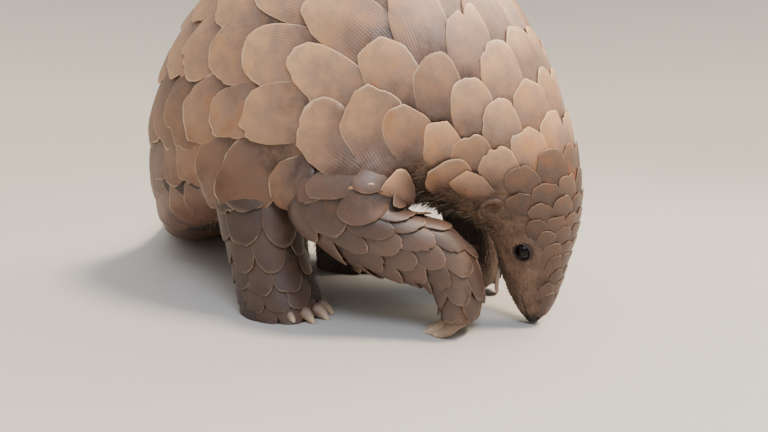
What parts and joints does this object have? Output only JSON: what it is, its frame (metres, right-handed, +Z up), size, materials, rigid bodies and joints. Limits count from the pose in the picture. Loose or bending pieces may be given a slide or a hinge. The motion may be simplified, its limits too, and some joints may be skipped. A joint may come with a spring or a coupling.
{
  "type": "pangolin",
  "caption": "Life-size still model of an adult ground pangolin, foraging: back arched, head down, overlapping scales, thick tail laid on the floor behind.",
  "frame": {"origin": "middle of the footprint's box, on the floor", "axes": "+X the way the animal faces, +Y its left side, +Z up"},
  "size_m": [0.7818, 0.4496, 0.3284],
  "materials": {
    "body_scales": "satin horn",
    "head_scales": "satin horn and skin",
    "feet_and_claws": "rough skin and horn",
    "bare_skin": "wrinkled skin",
    "eyes": "wet black"
  },
  "bodies": {
    "root": {"head": "head_scales", "neck": "body_scales", "torso_front": "body_scales", "torso_rear": "body_scales", "tail_root": "body_scales", "tail_middle": "body_scales", "tail_end": "body_scales", "foreleg_right": "body_scales", "foreleg_left": "body_scales", "hindleg_right": "body_scales", "hindleg_left": "body_scales", "forefoot_right": "feet_and_claws", "forefoot_left": "feet_and_claws", "hindfoot_right": "feet_and_claws", "hindfoot_left": "feet_and_claws", "ear_right": "bare_skin", "ear_left": "bare_skin", "eye_right": "eyes", "eye_left": "eyes"}
  },
  "joints": []
}
